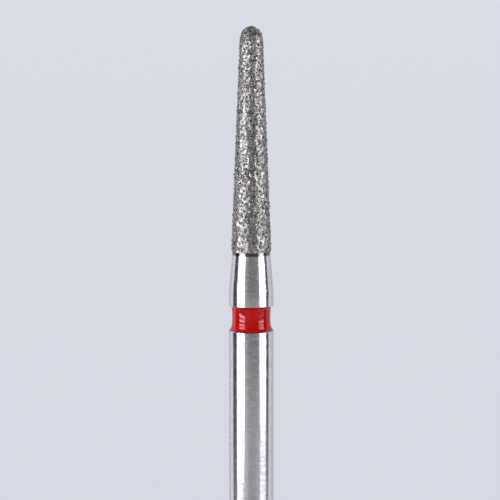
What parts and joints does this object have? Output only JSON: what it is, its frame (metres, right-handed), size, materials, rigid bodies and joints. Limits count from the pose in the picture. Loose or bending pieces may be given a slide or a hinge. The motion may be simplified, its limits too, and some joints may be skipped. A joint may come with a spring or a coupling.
{
  "type": "dental bur",
  "caption": "Friction-grip diamond bur: a plain steel shank with a red lacquered groove, a short conical neck and a long tapered head with a round end, coated in diamond grit.",
  "frame": {"origin": "centre of the shank's flat end face", "axes": "+Z along the bur's axis, from the shank's end to the tip of the head"},
  "size_m": [0.0016, 0.0016, 0.021],
  "materials": {
    "stainless_steel": "fine turned and ground, semi-bright",
    "nickel_plate": "matt electroplated nickel",
    "diamond": "sharp broken grains, sparkling",
    "red_lacquer": "glossy baked lacquer"
  },
  "bodies": {
    "root": {"shank_blank": "stainless_steel", "nickel_bond": "nickel_plate", "diamond_grit": "diamond", "colour_ring": "red_lacquer"}
  },
  "joints": []
}
